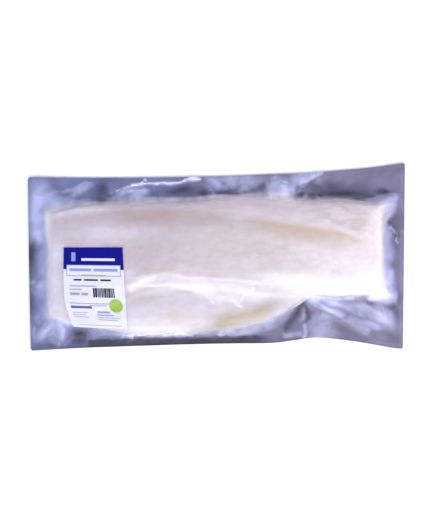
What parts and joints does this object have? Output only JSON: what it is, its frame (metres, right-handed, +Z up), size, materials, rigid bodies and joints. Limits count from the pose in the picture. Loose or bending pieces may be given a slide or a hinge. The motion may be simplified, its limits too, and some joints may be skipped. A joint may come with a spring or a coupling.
{
  "type": "vacuum-packed cod loin",
  "caption": "Skinless cod loin with its belly flap in a clear vacuum bag drawn tight over the fish, with welded, crumpled margins and a printed paper label over one end.",
  "frame": {"origin": "on the table, under the middle of the bag", "axes": "+X along the bag towards the end away from the label, +Y across it towards the back edge of the loin, +Z up"},
  "size_m": [0.4, 0.201, 0.0361],
  "materials": {
    "film": "clear, glossy, slightly blue-grey film with sharp creases",
    "cod_flesh": "moist cream-white flesh with faint flakes, pinkish and tan along the muscle seams",
    "label_paper": "smooth coated white paper",
    "label_ink": "flat printed fields of colour, mostly deep blue"
  },
  "bodies": {
    "root": {"sealed_bag": "film", "label": "label_paper"}
  },
  "joints": []
}
